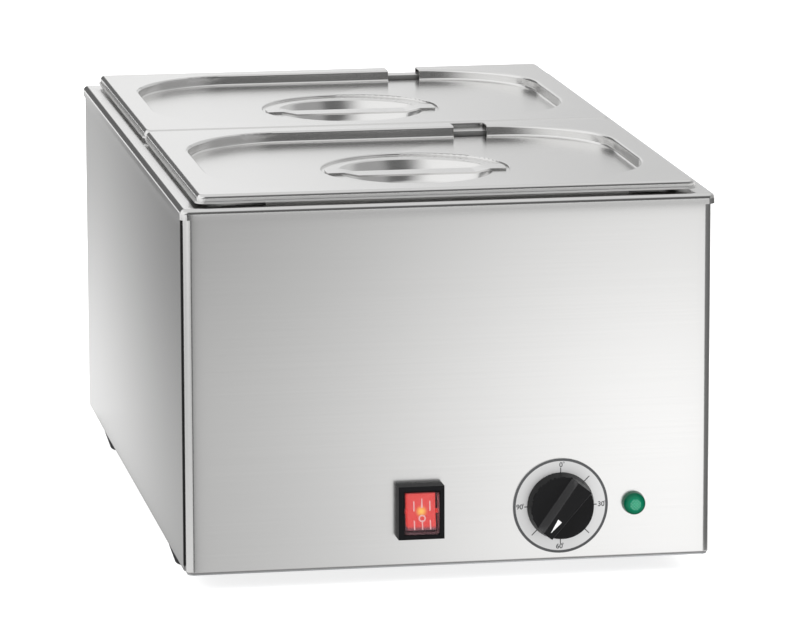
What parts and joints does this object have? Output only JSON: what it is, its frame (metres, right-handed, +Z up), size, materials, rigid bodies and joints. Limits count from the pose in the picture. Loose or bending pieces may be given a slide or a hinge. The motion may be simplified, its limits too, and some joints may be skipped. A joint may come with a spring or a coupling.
{
  "type": "countertop bain-marie",
  "caption": "Box-shaped electric water bath of brushed steel that keeps lidded food pans warm, with a lit rocker switch, a thermostat dial and a pilot lamp on its front.",
  "frame": {"origin": "on the worktop, under the middle of the whole object's box", "axes": "+X to the right seen from the front, +Y from the control front to the back, +Z up"},
  "size_m": [0.3464, 0.5798, 0.259],
  "materials": {
    "steel_panel": "brushed stainless sheet",
    "steel_basin": "satin pressed stainless sheet",
    "steel_pan": "satin pressed stainless sheet",
    "steel_lid": "satin pressed stainless sheet",
    "base_sheet": "galvanised sheet",
    "bright_fastener": "zinc plated",
    "foot_rubber": "matte moulded rubber",
    "switch_black": "gloss moulded",
    "rocker_red": "translucent lit red",
    "clear_cover": "clear moulded",
    "dial_grey": "printed satin plate",
    "knob_black": "moulded black",
    "lamp_green": "translucent faceted",
    "contact_brass": "plain",
    "element_steel": "heat tinted tube",
    "shaft_steel": "turned",
    "mineral_wool": "pressed mineral wool",
    "copper_sensor": "drawn copper",
    "white_ceramic": "glazed",
    "black_plastic": "moulded",
    "wire_brown": "insulated wire",
    "wire_blue": "insulated wire",
    "wire_earth": "insulated wire"
  },
  "bodies": {
    "housing": {"back_panel": "steel_panel", "base_plate": "base_sheet", "base_screws": "bright_fastener", "bulb_clips": "bright_fastener", "capillary": "copper_sensor", "cutout_blades": "contact_brass", "cutout_nuts": "bright_fastener", "cutout_studs": "bright_fastener", "dial_plate": "dial_grey", "earth_nut": "contact_brass", "earth_stud": "contact_brass", "earth_wire": "wire_earth", "foot_front_left": "foot_rubber", "foot_front_right": "foot_rubber", "foot_nuts": "bright_fastener", "foot_rear_left": "foot_rubber", "foot_rear_right": "foot_rubber", "foot_screws": "bright_fastener", "front_panel": "steel_panel", "gland_body": "black_plastic", "gland_cap": "black_plastic", "gland_nut": "black_plastic", "heater_plate": "base_sheet", "heater_studs": "bright_fastener", "heating_element": "element_steel", "insulation_pad": "mineral_wool", "lamp_blades": "contact_brass", "lamp_body": "black_plastic", "lamp_lens": "lamp_green", "lamp_nut": "black_plastic", "live_wires": "wire_brown", "neutral_wires": "wire_blue", "safety_cutout": "white_ceramic", "sensor_bulb": "copper_sensor", "side_panel_left": "steel_panel", "side_panel_right": "steel_panel", "splash_cover": "clear_cover", "stud_nuts": "bright_fastener", "stud_washers": "bright_fastener", "switch_blades": "contact_brass", "switch_housing": "switch_black", "terminal_block": "white_ceramic", "terminal_bolts": "bright_fastener", "thermostat_blades": "contact_brass", "thermostat_body": "black_plastic", "thermostat_screws": "bright_fastener", "water_basin": "steel_basin"},
    "pan_front": {"pan_front": "steel_pan"},
    "pan_rear": {"pan_rear": "steel_pan"},
    "lid_front": {"lid_front": "steel_lid", "lid_handle_front": "steel_lid"},
    "lid_rear": {"lid_rear": "steel_lid", "lid_handle_rear": "steel_lid"},
    "rocker": {"rocker": "rocker_red"},
    "dial_knob": {"knob": "knob_black", "thermostat_shaft": "shaft_steel"}
  },
  "joints": [
    {"name": "pan_front_lift", "type": "slide", "parent": "housing", "child": "pan_front", "axis": [0, 0, 1], "range_m": [0, 0.165]},
    {"name": "lid_front_lift", "type": "slide", "parent": "pan_front", "child": "lid_front", "axis": [0, 0, 1], "range_m": [0, 0.1]},
    {"name": "pan_rear_lift", "type": "slide", "parent": "housing", "child": "pan_rear", "axis": [0, 0, 1], "range_m": [0, 0.165]},
    {"name": "lid_rear_lift", "type": "slide", "parent": "pan_rear", "child": "lid_rear", "axis": [0, 0, 1], "range_m": [0, 0.1]},
    {"name": "rocker_tip", "type": "hinge", "parent": "housing", "child": "rocker", "pos_m": [-0.0206, -0.2736, 0.05075], "axis": [1, 0, 0], "range_deg": [0, 18]},
    {"name": "dial_turn", "type": "hinge", "parent": "housing", "child": "dial_knob", "pos_m": [0.072, -0.2704, 0.0497], "axis": [0, 1, 0], "range_deg": [-218, 52]}
  ]
}
